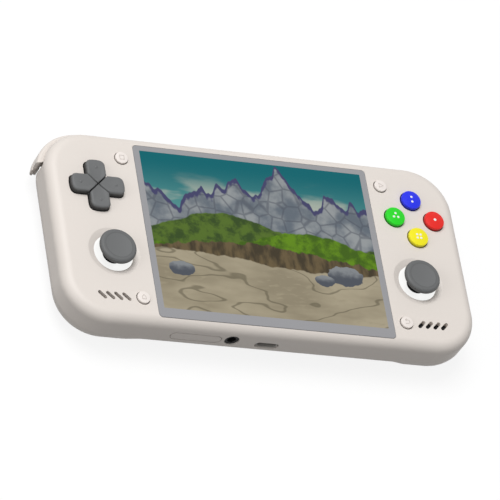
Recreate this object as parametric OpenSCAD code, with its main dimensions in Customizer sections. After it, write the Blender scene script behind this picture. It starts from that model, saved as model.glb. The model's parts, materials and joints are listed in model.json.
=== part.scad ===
// Handheld game console: a 4:3 screen between two control panels, in a two-part moulded shell.
// It lies on its grips with the screen up. +X is its right side, +Y its top edge.

/* [Screen] */
// Width of the picture
screen_w = 95.5; // [92:0.5:100]
// Height of the picture
screen_h = 71.6; // [69:0.2:75]
// Border of the glass left and right of the picture
border_side = 2.55; // [2:0.05:3.5]
// Border of the glass above the picture
border_top = 2.2; // [1.4:0.1:3]
// Border of the glass below the picture
border_low = 4.2; // [2:0.1:6]
// Thickness of the front glass
glass_t = 1; // [0.7:0.1:1.3]
// Radius of the corners of the glass
glass_r = 1.5; // [0.8:0.1:3]
// Thickness of the adhesive frame under the glass
tape_t = 0.2; // [0.1:0.05:0.4]
// Thickness of the display panel
panel_t = 1.8; // [1.2:0.1:2.4]
// Edge of the display panel around the picture
panel_edge = 0.25; // [0.1:0.05:0.4]

/* [Shell] */
// Width of the control panel at each side of the glass
side_w = 37.6; // [37:0.2:42]
// Shell above the glass
margin_top = 4.4; // [4.3:0.1:7]
// Shell below the glass
margin_low = 3.2; // [2.6:0.1:6]
// Radius of the corners of the outline
corner_r = 18.8; // [17.5:0.1:20]
// Radius of the rounded front edge
front_fillet = 4.3; // [2.6:0.1:5]
// Depth of the body at the grips
grip_depth = 20; // [19.5:0.25:22]
// Depth of the body between the grips
centre_depth = 14.5; // [14:0.1:15.5]
// Depth of the seam between the two shells, behind the front face
seam_depth = 10.8; // [10.2:0.1:11]
// Radius of the rounded back edge of the grips
grip_fillet = 10; // [7:0.25:10]
// Distance from the middle at which a grip has its full depth
grip_x = 58; // [56:0.5:60]
// Length of the slope that leads down to a grip
grip_ramp = 24; // [22:0.5:26]
// Angle by which the slope of a grip leans out towards the bottom edge
grip_lean = 15; // [10:0.5:16]
// Thickness of the side and back walls
wall = 1.8; // [1.5:0.1:2]
// Thickness of the front wall
face_wall = 2; // [1.6:0.1:2.4]
// Radius of the posts inside the shells
post_r = 2.2; // [1.9:0.1:2.3]

/* [Sticks] */
// Distance of the sticks from the edge of the glass
stick_inset = 14.75; // [14.2:0.05:16]
// Height of the sticks above the middle of the screen
stick_y = -12.45; // [-14:0.05:-11]
// Diameter of the stick caps
cap_d = 15; // [13:0.1:15.2]
// Height of the stick caps above the front face
cap_rise = 4.9; // [4.8:0.1:6.4]
// Thickness of the stick caps
cap_t = 3.1; // [2:0.1:3.2]
// Diameter of the stick shafts
shaft_d = 4; // [3:0.1:4.4]
// Depth of the stick pivots behind the front face
pivot_depth = 8.5; // [8.2:0.1:9]
// Diameter of the stick wells at the front face
well_d = 21.4; // [20:0.1:22]
// Depth of the sloped lip of a stick well
well_lip = 0.9; // [0.5:0.1:1.3]
// Diameter of the pale ring in a stick well
ring_d = 16; // [15.6:0.1:17]
// Width of the stick housings
housing_w = 15; // [14.6:0.1:15.4]
// Travel of a stick when it is clicked
click_travel = 0.4; // [0.2:0.05:0.5]

/* [Direction pad and round buttons] */
// Distance of the two button groups from the edge of the glass
group_inset = 18.15; // [17.8:0.05:19]
// Height of the two button groups above the middle of the screen
group_y = 16.7; // [15.5:0.05:18]
// Length of the direction pad across two arms
pad_len = 22.1; // [20:0.1:22.4]
// Width of the arms of the direction pad
pad_arm = 8; // [7:0.1:8.4]
// Height of the direction pad above the front face
pad_rise = 2.6; // [2:0.1:3.4]
// Distance of the coloured buttons from the middle of their group
button_pitch = 8.7; // [8:0.1:9]
// Diameter of the coloured buttons
button_d = 8.4; // [7:0.1:9]
// Height of the coloured buttons above the front face
button_rise = 1.9; // [1.4:0.1:2.6]
// Travel of the coloured buttons
button_travel = 1; // [0.6:0.1:1.2]
// Distance of the small buttons from the edge of the glass
small_inset = 5.75; // [5.5:0.05:6]
// Distance of the upper small buttons from the top of the glass
small_drop = 6.95; // [6.4:0.05:7.4]
// Distance of the lower small buttons from the bottom of the glass
small_lift = 7.55; // [7.2:0.05:8.6]
// Diameter of the small buttons
small_d = 5.2; // [4.8:0.1:6.2]
// Height of the small buttons above the front face
small_rise = 1; // [0.6:0.1:1.2]
// Travel of the small buttons
small_travel = 0.5; // [0.3:0.05:0.6]

/* [Shoulder keys] */
// How far the bumpers stand out of the outline
shoulder_proud = 1.6; // [1:0.1:2]
// How far the triggers stand out of the outline
trigger_proud = 1.6; // [0.6:0.1:1.8]
// How far the round of the shoulder keys is set out to the side of the body's corner
shoulder_shift = 0.7; // [0.3:0.1:1]
// Depth of the front of the bumpers behind the front face
bumper_depth = 5; // [4.9:0.1:5.4]
// Height of the bumpers, front to back
bumper_h = 5; // [4.6:0.1:5.6]
// Height of the triggers, front to back
trigger_h = 4.4; // [4:0.1:4.8]
// Thickness of the bumpers behind their outer face
bumper_t = 5.1; // [4.4:0.1:5.4]
// Thickness of the triggers behind their outer face
trigger_t = 2.8; // [2.6:0.1:3.4]
// Diameter of the shoulder pins
pin_d = 2; // [1.6:0.1:2.2]

/* [Ports and top keys] */
// Place of the headphone socket along the bottom edge
jack_x = -17.6; // [-18.5:0.1:-17]
// Bore of the headphone socket
jack_d = 3.6; // [3.55:0.01:3.65]
// Diameter of the black nose around the headphone bore
jack_nose_d = 5.7; // [4.8:0.1:5.8]
// Depth of the headphone bore
jack_len = 13; // [12:0.5:15]
// Place of the USB socket along the bottom edge
usb_x = -2.3; // [-4:0.1:4]
// Width of the USB socket
usb_w = 8.94; // [8.9:0.01:9]
// Height of the USB socket
usb_h = 3.26; // [3.2:0.01:3.3]
// Place of the card cover along the bottom edge
card_x = -32.6; // [-34:0.1:-32.4]
// Length of the card cover
card_w = 21; // [18:0.5:22]
// Height of the card cover
card_h = 4.2; // [3.8:0.1:4.4]
// Length of a top key
key_len = 8; // [6:0.5:9]
// Height of a top key, front to back
key_h = 2.6; // [2:0.1:3]
// How far the top keys stand out of the top wall
key_proud = 0.7; // [0.4:0.1:1]
// Travel of the top keys
key_travel = 0.4; // [0.2:0.05:0.5]

/* [Inside] */
// Thickness of the circuit boards
board_t = 1; // [0.8:0.1:1.2]
// Space between the back wall and the main board
board_gap = 1.6; // [1.4:0.1:1.8]
// Space between the front wall and the control boards
control_gap = 4.1; // [4:0.1:4.3]
// Height of the battery
battery_h = 34; // [28:1:35]
// Thickness of the battery
battery_t = 5.6; // [4:0.1:7]
// Width of the fan housing
fan_w = 26; // [24:0.5:26]
// Height of the fan housing, front to back
fan_h = 6.2; // [5.6:0.1:7]
// Diameter of the fan rotor
rotor_d = 22; // [18:0.5:23]
// Number of blades on the fan rotor
blades = 11; // [7:1:15]
// Thickness of the speakers
speaker_t = 4.5; // [3.5:0.1:5]
// Diameter of the screws
screw_d = 1.8; // [1.6:0.1:2]

/* [Clearances] */
// Gap between a key and the edge of its hole
key_gap = 0.3; // [0.25:0.05:0.4]
// Gap around the direction pad in its hole
pad_gap = 0.4; // [0.35:0.05:0.5]
// Gap around the card cover
cover_gap = 0.25; // [0.2:0.05:0.3]
// Gap around pieces that are set in place
seat_gap = 0.15; // [0.1:0.05:0.2]
// Gap around a pin that turns
run_gap = 0.05; // [0.03:0.01:0.08]
// Gap around a screw in its hole
screw_gap = 0.05; // [0.03:0.01:0.08]
// Gap around the shoulder keys
shoulder_gap = 0.4; // [0.3:0.05:0.5]
// Room below the end of a bumper for its swing
bumper_swing = 1.3; // [1.2:0.05:1.8]
// Room below the end of a trigger for its swing
trigger_swing = 1.3; // [1.25:0.05:1.9]

/* [Hidden] */
$fn = 64;
fine = 720;

// Colours
shell_grey = "#e4dcd5";
key_grey = "#6d7174";
board_green = "#2d5a3f";
steel = "#b9bcc0";
black = "#1b1c1e";
rubber_grey = "#4a4d50";

// Outline of the glass and of the body
glass_w = screen_w + 2 * border_side;
glass_h = screen_h + border_top + border_low;
body_len = glass_w + 2 * side_w;
body_h = glass_h + margin_top + margin_low;
body_mid_y = -max(shoulder_proud, trigger_proud) / 2;
body_top_y = body_mid_y + body_h / 2;
body_low_y = body_mid_y - body_h / 2;
wall_top_y = body_top_y - wall;
wall_low_y = body_low_y + wall;
glass_y = body_low_y + margin_low + glass_h / 2;
screen_y = body_low_y + margin_low + border_low + screen_h / 2;
panel_w = screen_w + 2 * panel_edge;
panel_h = screen_h + 2 * panel_edge;
window_w = panel_w + 2 * seat_gap;
window_h = panel_h + 2 * seat_gap;

// Levels, from the surface that the grips lie on
front_z = grip_depth;
plate_z = front_z - face_wall;
seam_z = front_z - seam_depth;
back_z = front_z - centre_depth;
floor_z = back_z + wall;
board_z = floor_z + board_gap;
board_top_z = board_z + board_t;
control_top_z = plate_z - control_gap;
control_z = control_top_z - board_t;
centre_fillet = seam_z - back_z;
over = 1;

// Grip slope, two equal arcs from just under the seam to the surface
ramp_top_z = seam_z - 1;
ramp_r = (ramp_top_z * ramp_top_z + grip_ramp * grip_ramp) / (4 * ramp_top_z);
mid_reach = grip_x - grip_ramp / 3;
grip_turn_y = body_mid_y + 15.8;

// Places on the left-hand side, mirrored for the right
group_at = [-(glass_w / 2 + group_inset), screen_y + group_y];
stick_at = [-(glass_w / 2 + stick_inset), screen_y + stick_y];
small_x = -(glass_w / 2 + small_inset);
small_up_at = [small_x, glass_y + glass_h / 2 - small_drop];
small_low_at = [small_x, glass_y - glass_h / 2 + small_lift];
small_pad_r = small_d / 2 - 0.75;
corner_at = [-(body_len / 2 - corner_r), body_top_y - corner_r];
pivot_z = front_z - pivot_depth;

// Stick housings
housing_wall = 1;
housing_lip = 1.3;

// Screw posts: three case posts and five board posts on each side
side_post_in = 5.6;
side_post_up = 6.8;
low_post_in = 8.6;
low_post_up = 13;
top_post_in = 5.8;
top_post_down = 4.4;
case_posts = [[-(body_len / 2 - side_post_in), body_mid_y + side_post_up],
    [-(body_len / 2 - low_post_in), body_low_y + low_post_up],
    [-(glass_w / 2 - top_post_in), body_top_y - top_post_down]];
case_seat = 4.2;
control_post_r = 1.8;
between_y = (group_at[1] + stick_at[1]) / 2;
control_posts = [group_at + [-8.05, 11.8], [small_x - 0.95, between_y + 1.1],
    stick_at - [housing_w / 2 + housing_lip + control_post_r + 0.35, housing_w / 2 + 0.25]];
main_post_r = 1.7;
main_post_x = -(glass_w / 2 + 0.6);
main_posts = [[main_post_x, stick_at[1] + 4.5], [main_post_x, stick_at[1] - 11.5]];
screw_r = screw_d / 2;
head_r = screw_d;
head_h = 1.2;
screw_len = 9;

// Sticks
swing_gap = 0.4;
frame_t = 1.2;
cradle_w = housing_w - 2 * housing_wall - 2 * key_gap;
yoke_w = cradle_w - 2 * frame_t - 2 * swing_gap;
frame_h = 2.6;
gimbal_r = 0.8;
hub_r = 2.2;
skirt_r = housing_w / 2 - housing_wall - 0.5;
housing_low_z = pivot_z - 4.6;
housing_floor_z = housing_low_z + 0.8;
shaft_r = shaft_d / 2;
cap_low_z = front_z + cap_rise - cap_t;
cap_socket = 1.1;

// Keys under the front wall
flange_w = 0.7;
flange_t = 1;
stop_gap = 0.1;
key_low_z = plate_z - stop_gap - flange_t;
pad_tip_r = 2.4;
pad_flange_w = 1.2;
pad_flange_top_z = plate_z - 1.25;
pad_flange_t = 0.9;
pad_low_z = pad_flange_top_z - pad_flange_t;
membrane_t = 0.6;
membrane_half = pad_len / 2 - 1.5;
press_gap = 0.3;

// Shoulder keys
bumper_top_z = front_z - bumper_depth;
bumper_low_z = bumper_top_z - bumper_h;
trigger_top_z = bumper_low_z - shoulder_gap;
trigger_low_z = trigger_top_z - trigger_h;
notch_top_z = bumper_top_z + 2 * shoulder_gap;
notch_low_z = trigger_low_z - shoulder_gap;
notch_inset = 6.6;
rib_t = 1.2;
notch_y = corner_at[1] + 3.8;
pin_r = pin_d / 2;
pin_at = [-(glass_w / 2 + 0.1), body_top_y - 5.2];
notch_x = pin_at[0] - 2.4;
arm_x = notch_x - 4.7;
arm_half = 1.3;
arm_h = 1.4;
pin_boss_r = pin_r + 1;
pin_low_z = trigger_top_z - arm_h - 2;
pin_top_z = plate_z - 1.5;

// Ports and top keys
port_setback = 0.4;
jack_body_w = 6;
jack_z = board_top_z + 2.8;
usb_z = board_top_z + 1.4;
usb_len = 7.4;
usb_mouth_y = body_low_y + port_setback;
card_z = board_top_z + 2.5;
key_z = (seam_z + front_z - front_fillet) / 2;
volume_up_x = -28;
volume_down_x = -18;
power_x = 2;
key_flange_y = wall_top_y - seat_gap;
key_flange_t = 0.8;
switch_y = key_flange_y - key_flange_t - key_travel - 0.25;
switch_t = 1.2;
switch_w = 3;
switch_h = 2;
key_board_y = switch_y - switch_t - board_t;

// Inside
bay_inset = 8.3;
bay_gap = 2;
battery_x = -(glass_w / 2 - bay_inset);
battery_w = glass_w - 2 * bay_inset - fan_w - bay_gap;
battery_top_y = body_top_y - 7;
board_top_y = battery_top_y - battery_h - 1;
board_low_y = wall_low_y + 0.4;
board_half = glass_w / 2 + 2.2;
prop_x = 20;
prop_lift = 4;
fan_x = glass_w / 2 - bay_inset - fan_w / 2;
fan_wall = 0.8;
fan_throat = 3.15;
fan_top_y = wall_top_y - (centre_fillet - wall) - seat_gap;
fan_low_y = fan_top_y - fan_throat - fan_w;
rotor_y = fan_low_y + fan_w / 2;
chip_w = 13;
chip_t = 1.2;
chip_at = [fan_x, board_top_y - chip_w / 2 - 5];
spreader_t = 0.8;
spreader_lip = 2.5;
slot_pitch = 3.34;
slot_len = 4.4;
slot_d = 1.5;
slots_at = [-(glass_w / 2 + 12.5), small_low_at[1]];
speaker_w = 3 * slot_pitch + 4.4;
speaker_h = 10.5;

// Draws its children on the left (-1) or the right (1)
module on_side(side) {
    if (side > 0) mirror([1, 0, 0]) children();
    else children();
}

// Draws its children on both sides
module both_sides() {
    children();
    mirror([1, 0, 0]) children();
}

// Extrudes an outline in X and Z from one Y to another
module along_y(y0, y1) {
    translate([0, y1, 0]) rotate([90, 0, 0]) linear_extrude(y1 - y0) children();
}

// Rectangle with round corners
module rounded_rect(w, h, r) {
    square([w - 2 * r, h], center = true);
    square([w, h - 2 * r], center = true);
    for (x = [-1, 1], y = [-1, 1]) translate([x * (w / 2 - r), y * (h / 2 - r)]) circle(r);
}

// Bar with round ends, along X
module capsule(len, d) {
    square([len - d, d], center = true);
    for (x = [-1, 1]) translate([x * (len - d) / 2, 0]) circle(d / 2);
}

// Section from an axis out to a wall whose outer corners are round
module edge_section(r, h, round_top, round_low) {
    difference() {
        square([r, h]);
        if (round_top > 0) translate([r - round_top, h - round_top]) difference() {
            square(round_top + over);
            circle(round_top);
        }
        if (round_low > 0) translate([r - round_low, round_low]) mirror([0, 1]) difference() {
            square(round_low + over);
            circle(round_low);
        }
    }
}

// Block with a rounded outline, its front and back edges swept round
module soft_block(len, wid, r, h, round_top, round_low) {
    ix = len / 2 - r;
    iy = wid / 2 - r;
    translate([-ix, -iy, 0]) cube([2 * ix, 2 * iy, h]);
    for (turn = [0, 180]) rotate([0, 0, turn]) {
        translate([ix, iy, 0]) rotate_extrude(angle = 90) edge_section(r, h, round_top, round_low);
        translate([-ix, iy, 0]) rotate([0, 0, 90]) rotate_extrude(angle = 90)
            edge_section(r, h, round_top, round_low);
        translate([-ix, iy, 0]) rotate([90, 0, 90]) linear_extrude(2 * ix)
            edge_section(r, h, round_top, round_low);
        translate([ix, iy, 0]) rotate([90, 0, 0]) linear_extrude(2 * iy)
            edge_section(r, h, round_top, round_low);
    }
}

// The body's outline, drawn in by an inset, between two levels
module body_block(inset, z0, z1, round_top, round_low) {
    translate([0, body_mid_y, z0])
        soft_block(body_len - 2 * inset, body_h - 2 * inset, corner_r - inset, z1 - z0, round_top, round_low);
}

// Section of the right-hand grip across the body, with its slope of two arcs
module grip_section(tall) {
    half = grip_ramp / 2;
    translate([grip_x, 0]) square([body_len / 2, tall]);
    intersection() {
        translate([grip_x - half, 0]) square([half, tall]);
        translate([grip_x, ramp_r]) circle(ramp_r);
    }
    difference() {
        translate([grip_x - grip_ramp, 0]) square([half, tall]);
        translate([grip_x - grip_ramp, ramp_top_z - ramp_r]) circle(ramp_r);
    }
}

// Leans what is drawn for the right-hand grip out towards the bottom edge, on both sides
module leaning_grips() {
    middle = [grip_x - grip_ramp / 2, grip_turn_y, 0];
    both_sides() translate(middle) rotate([0, 0, grip_lean]) translate(-middle) children();
}

// The back half as a solid, drawn in by an inset
module back_block(inset, top_z) {
    difference() {
        body_block(inset, back_z + inset, top_z, 0, centre_fillet - inset);
        leaning_grips() translate([mid_reach, -2 * body_h, -over]) cube([body_len, 4 * body_h, 3 * seam_z]);
    }
    intersection() {
        body_block(inset, inset, top_z, 0, grip_fillet - inset);
        leaning_grips() along_y(-2 * body_h, 2 * body_h) translate([inset, inset]) grip_section(2 * seam_z);
    }
}

// Corner notch that holds a bumper and a trigger
module shoulder_notch(z0, z1) {
    translate([0, 0, z0]) linear_extrude(z1 - z0) difference() {
        translate([-body_len, notch_y]) square([body_len + notch_x, body_h]);
        translate([0, body_mid_y])
            rounded_rect(body_len - 2 * notch_inset, body_h - 2 * notch_inset, corner_r - notch_inset);
    }
}

// Wall inside a shoulder notch
module notch_rib() {
    inner = notch_inset + rib_t;
    linear_extrude(seam_z) intersection() {
        translate([-body_len, notch_y - rib_t]) square([body_len + arm_x - 0.8, body_h]);
        translate([0, body_mid_y]) difference() {
            rounded_rect(body_len - 2 * notch_inset, body_h - 2 * notch_inset, corner_r - notch_inset);
            rounded_rect(body_len - 2 * inner, body_h - 2 * inner, corner_r - inner);
        }
    }
}

module posts(list, r, z0, z1) {
    for (at = list) translate([at[0], at[1], z0]) cylinder(r = r, h = z1 - z0);
}

// Row of slanted speaker slots
module speaker_slots(z0, z1) {
    for (i = [0:3]) translate([slots_at[0] - i * slot_pitch, slots_at[1], z0]) rotate([0, 0, -45])
        linear_extrude(z1 - z0) capsule(slot_len, slot_d);
}

// Outline of the direction pad, grown by a gap
module pad_outline(grow) {
    intersection() {
        circle(pad_len / 2 + grow);
        for (turn = [0, 90]) rotate(turn)
            rounded_rect(pad_len + 2 * grow, pad_arm + 2 * grow, pad_tip_r + grow);
    }
}

function button_offset(i) = button_pitch * [cos(90 * i), sin(90 * i), 0];

// Hollow of the front shell around its posts
module front_cavity() {
    difference() {
        body_block(wall, seam_z - over, plate_z, front_fillet - wall, 0);
        both_sides() {
            posts(case_posts, post_r, 0, front_z);
            posts(control_posts, control_post_r, control_top_z, front_z);
            posts(main_posts, main_post_r, board_top_z, front_z);
            posts([pin_at], pin_boss_r, bumper_top_z + shoulder_gap, front_z);
        }
    }
}

// Holes in the front wall for the controls of both sides
module control_holes() {
    both_sides() {
        translate([stick_at[0], stick_at[1], plate_z - over])
            cylinder(d = ring_d + 2 * seat_gap, h = 2 * face_wall);
        translate([stick_at[0], stick_at[1], front_z - well_lip])
            cylinder(d1 = ring_d + 2 * seat_gap, d2 = well_d, h = well_lip);
        for (at = [small_up_at, small_low_at]) translate([at[0], at[1], plate_z - over])
            cylinder(d = small_d + 2 * key_gap, h = 2 * face_wall);
        speaker_slots(plate_z - over, front_z + over);
    }
    translate([group_at[0], group_at[1], plate_z - over]) linear_extrude(2 * face_wall) pad_outline(pad_gap);
    for (i = [0:3]) translate([-group_at[0], group_at[1], plate_z - over]) translate(button_offset(i))
        cylinder(d = button_d + 2 * key_gap, h = 2 * face_wall);
}

// Openings in the bottom and top walls
module wall_holes() {
    along_y(body_low_y - over, wall_low_y + over) {
        translate([jack_x, jack_z]) circle(d = jack_nose_d + 2 * seat_gap);
        translate([usb_x, usb_z]) capsule(usb_w + 8 * seat_gap, usb_h + 2 * seat_gap);
        translate([card_x, card_z]) capsule(card_w + 2 * cover_gap, card_h + 2 * cover_gap);
    }
    along_y(wall_top_y - over, body_top_y + over) {
        for (x = [volume_up_x, volume_down_x, power_x]) translate([x, key_z])
            capsule(key_len + 2 * seat_gap, key_h + 2 * seat_gap);
        for (i = [-3:3]) translate([fan_x + i * slot_pitch, key_z]) rotate(90) capsule(key_h + 0.8, 1.8);
    }
}

module front_shell() {
    color(shell_grey) difference() {
        body_block(0, seam_z, front_z, front_fillet, 0);
        front_cavity();
        translate([0, glass_y, front_z - glass_t - tape_t]) linear_extrude(2 * glass_t)
            rounded_rect(glass_w + 2 * seat_gap, glass_h + 2 * seat_gap, glass_r + seat_gap);
        translate([-window_w / 2, screen_y - window_h / 2, 0]) cube([window_w, window_h, front_z]);
        control_holes();
        wall_holes();
        both_sides() {
            shoulder_notch(0, notch_top_z);
            posts(case_posts, screw_r + screw_gap, 0, plate_z - over);
            posts(control_posts, screw_r + screw_gap, 0, plate_z - 0.3);
            posts(main_posts, screw_r + screw_gap, 0, plate_z - over);
            posts([pin_at], pin_r + run_gap, 0, pin_top_z + run_gap);
        }
    }
}

// Hollow of the back shell around its posts, ribs, supports and the floors of the notches
module back_cavity() {
    difference() {
        back_block(wall, seam_z + over);
        both_sides() {
            posts(case_posts, post_r, 0, seam_z);
            posts([pin_at], pin_boss_r, 0, trigger_top_z - arm_h - shoulder_gap);
            notch_rib();
            shoulder_notch(0, notch_low_z + over);
            translate([-prop_x, board_low_y + prop_lift, 0]) cylinder(r = main_post_r, h = board_z);
        }
    }
}

module back_shell() {
    color(shell_grey) difference() {
        back_block(0, seam_z);
        back_cavity();
        both_sides() {
            shoulder_notch(notch_low_z, seam_z + over);
            posts(case_posts, screw_r + screw_gap, -over, seam_z + over);
            posts(case_posts, head_r + seat_gap, -over, case_seat);
            posts([pin_at], pin_r + run_gap, pin_low_z - run_gap, seam_z);
        }
        for (i = [-2:2]) translate([fan_x, rotor_y + i * slot_pitch, back_z - over])
            linear_extrude(wall + 2 * over) capsule(rotor_d * 0.75, 1.6);
    }
}

module screen_glass() {
    color("#9b9da2") translate([0, glass_y, front_z - glass_t]) linear_extrude(glass_t)
        rounded_rect(glass_w, glass_h, glass_r);
}

module screen_tape() {
    color(black) translate([0, 0, front_z - glass_t - tape_t]) linear_extrude(tape_t) difference() {
        translate([0, glass_y]) rounded_rect(glass_w, glass_h, glass_r);
        translate([0, screen_y]) square([window_w, window_h], center = true);
    }
}

module display_panel() {
    color("#30545c") translate([-panel_w / 2, screen_y - panel_h / 2, front_z - glass_t - panel_t])
        cube([panel_w, panel_h, panel_t]);
}

module main_board() {
    color(board_green) difference() {
        translate([-board_half, board_low_y, board_z])
            cube([2 * board_half, board_top_y - board_low_y, board_t]);
        both_sides() posts(main_posts, screw_r + screw_gap, 0, front_z);
        translate([usb_x - usb_w / 2 - seat_gap, usb_mouth_y, 0])
            cube([usb_w + 2 * seat_gap, usb_len + seat_gap, front_z]);
    }
}

module processor() {
    color(black) translate([chip_at[0] - chip_w / 2, chip_at[1] - chip_w / 2, board_top_z])
        cube([chip_w, chip_w, chip_t]);
}

module heat_spreader() {
    low_y = chip_at[1] - chip_w / 2 - 1;
    wide = chip_w + 2 * spreader_lip;
    color("#b87347") translate([fan_x - wide / 2, low_y, board_top_z + chip_t])
        cube([wide, fan_low_y - low_y, spreader_t]);
}

module fan_housing() {
    inner = fan_w - 2 * fan_wall;
    color(black) {
        difference() {
            translate([fan_x - fan_w / 2, fan_low_y, floor_z]) cube([fan_w, fan_top_y - fan_low_y, fan_h]);
            translate([fan_x - inner / 2, fan_low_y + fan_wall, floor_z + fan_wall])
                cube([inner, fan_top_y, fan_h - 2 * fan_wall]);
            translate([fan_x, rotor_y, floor_z - over]) cylinder(d = rotor_d * 0.8, h = fan_wall + 2 * over);
        }
        translate([fan_x, rotor_y, floor_z + fan_wall + 1.2])
            cylinder(r = gimbal_r, h = fan_h - fan_wall - 1.5);
    }
}

module fan_rotor() {
    low_z = floor_z + fan_wall + 0.5;
    tall = fan_h - 2 * fan_wall - 1;
    hub = 4;
    color(rubber_grey) translate([fan_x, rotor_y, low_z]) difference() {
        union() {
            cylinder(r = hub, h = tall);
            for (i = [0:blades - 1]) rotate([0, 0, i * 360 / blades]) translate([hub - 0.5, -0.4, 0])
                cube([rotor_d / 2 - hub + 0.5, 0.8, tall]);
        }
        translate([0, 0, 0.6]) cylinder(r = gimbal_r + run_gap, h = fan_h);
    }
}

module battery() {
    color("#3c4046") translate([battery_x, battery_top_y - battery_h, floor_z])
        cube([battery_w, battery_h, battery_t]);
}

// Board under the controls of one side, with an opening for the stick housing
module control_board(side) {
    cut = housing_w + 2 * seat_gap;
    rim = 0.6;
    low_y = stick_at[1] - housing_w / 2 - housing_lip - 2 * rim;
    left_x = group_at[0] - pad_len / 2 - rim;
    top_y = control_posts[0][1] + control_post_r;
    inner_x = small_x + small_pad_r + rim;
    strip_x = small_x - small_pad_r - 2 * rim;
    strip_low_y = small_low_at[1] - small_pad_r - rim;
    strip_top_y = small_up_at[1] + small_pad_r + rim;
    color(board_green) on_side(side) difference() {
        union() {
            translate([left_x, low_y, control_z])
                cube([inner_x - left_x, top_y - low_y, board_t]);
            translate([strip_x, strip_low_y, control_z])
                cube([inner_x - strip_x, strip_top_y - strip_low_y, board_t]);
        }
        translate([stick_at[0] - cut / 2, stick_at[1] - cut / 2, 0]) cube([cut, cut, front_z]);
        posts(control_posts, screw_r + screw_gap, 0, front_z);
    }
}

module left_control_board() { control_board(-1); }
module right_control_board() { control_board(1); }

module speaker(side) {
    mid_x = slots_at[0] - 1.5 * slot_pitch;
    color(black) on_side(side) translate([mid_x, slots_at[1], plate_z - speaker_t]) linear_extrude(speaker_t)
        rounded_rect(speaker_w, speaker_h, 2);
}

module left_speaker() { speaker(-1); }
module right_speaker() { speaker(1); }

module headphone_jack() {
    nose_y = body_low_y + port_setback;
    back_y = nose_y + jack_len + 1;
    color(black) difference() {
        union() {
            translate([jack_x - jack_body_w / 2, wall_low_y + 0.1, board_top_z])
                cube([jack_body_w, back_y - wall_low_y - 0.1, 2 * (jack_z - board_top_z)]);
            along_y(nose_y, wall_low_y + over) translate([jack_x, jack_z]) circle(d = jack_nose_d);
        }
        along_y(nose_y - over, nose_y + jack_len) translate([jack_x, jack_z]) circle(d = jack_d);
    }
}

module usb_port() {
    skin = 0.3;
    tab = 1.2;
    tab_y = board_low_y + seat_gap;
    tongue_w = 6.7;
    tongue_t = 0.7;
    color(steel) {
        difference() {
            union() {
                along_y(usb_mouth_y, usb_mouth_y + usb_len) translate([usb_x, usb_z]) capsule(usb_w, usb_h);
                translate([usb_x - usb_w / 2 - tab, tab_y, board_top_z])
                    cube([usb_w + 2 * tab, usb_mouth_y + usb_len - tab_y, 0.8]);
            }
            along_y(usb_mouth_y - over, usb_mouth_y + usb_len - over) translate([usb_x, usb_z])
                capsule(usb_w - 2 * skin, usb_h - 2 * skin);
        }
        translate([usb_x - tongue_w / 2, usb_mouth_y + 1.2, usb_z - tongue_t / 2])
            cube([tongue_w, usb_len - 1.5, tongue_t]);
    }
}

module card_socket() {
    low_y = wall_low_y + 1.8;
    len = 14.6;
    socket_w = 14;
    slot_w = 11.2;
    color(steel) difference() {
        translate([card_x - socket_w / 2, low_y, board_top_z]) cube([socket_w, len, 1.9]);
        translate([card_x - slot_w / 2, low_y - over, board_top_z + 0.4]) cube([slot_w, len, 1]);
    }
}

module card_cover() {
    color(shell_grey) {
        along_y(body_low_y, wall_low_y - 0.2) translate([card_x, card_z]) capsule(card_w, card_h);
        along_y(wall_low_y - 0.5, wall_low_y + 1.5) translate([card_x, card_z])
            capsule(card_w - 5, card_h - 1.6);
    }
}

module case_screws() {
    color(steel) both_sides() {
        posts(case_posts, head_r, case_seat - head_h, case_seat);
        posts(case_posts, screw_r, case_seat - 0.2, case_seat + screw_len);
    }
}

module board_screws() {
    color(steel) both_sides() {
        posts(control_posts, head_r, control_z - head_h, control_z);
        posts(control_posts, screw_r, control_z - 0.2, plate_z - 0.6);
        posts(main_posts, head_r, board_z - head_h, board_z);
        posts(main_posts, screw_r, board_z - 0.2, board_top_z + 5);
    }
}

module ribbon_cables() {
    thick = 0.2;
    screen_ribbon_w = 16;
    far_x = small_x - 1.2;
    near_x = -(board_half - 5);
    low_x = -board_half;
    low_y = stick_at[1] - 7.5;
    color("#c07f3a") {
        both_sides() along_y(low_y, low_y + 8) polygon([[near_x, board_top_z], [low_x, board_top_z],
            [far_x + 3, control_z - thick], [far_x, control_z - thick], [far_x, control_z],
            [far_x + 3, control_z], [low_x, board_top_z + thick], [near_x, board_top_z + thick]]);
        translate([-screen_ribbon_w / 2, board_low_y + 8.5, board_top_z])
            cube([screen_ribbon_w, thick, front_z - glass_t - panel_t - board_top_z]);
    }
}

// Open box that holds a stick's moving frames and rests on the control board
module stick_housing(side) {
    inner = housing_w - 2 * housing_wall;
    color(steel) on_side(side) translate([stick_at[0], stick_at[1], 0]) difference() {
        union() {
            translate([-housing_w / 2, -housing_w / 2, housing_low_z])
                cube([housing_w, housing_w, control_top_z - housing_low_z + 0.5]);
            translate([-housing_w / 2 - housing_lip, -housing_w / 2 - housing_lip, control_top_z])
                cube([housing_w + 2 * housing_lip, housing_w + 2 * housing_lip, 1]);
        }
        translate([-inner / 2, -inner / 2, housing_floor_z]) cube([inner, inner, front_z]);
    }
}

module left_stick_housing() { stick_housing(-1); }
module right_stick_housing() { stick_housing(1); }

module stick_switches() {
    tall = pivot_z - frame_h / 2 - click_travel - 0.2 - housing_floor_z;
    deep = frame_t + 0.2;
    wide = 5;
    color(black) both_sides()
        translate([stick_at[0] + cradle_w / 2 - deep + 0.2, stick_at[1] - wide / 2, housing_floor_z])
            cube([deep, wide, tall]);
}

// Square frame centred on the stick's pivot
module pivot_frame(w) {
    inner = w - 2 * frame_t;
    difference() {
        cube([w, w, frame_h], center = true);
        cube([inner, inner, 2 * frame_h], center = true);
    }
}

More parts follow.
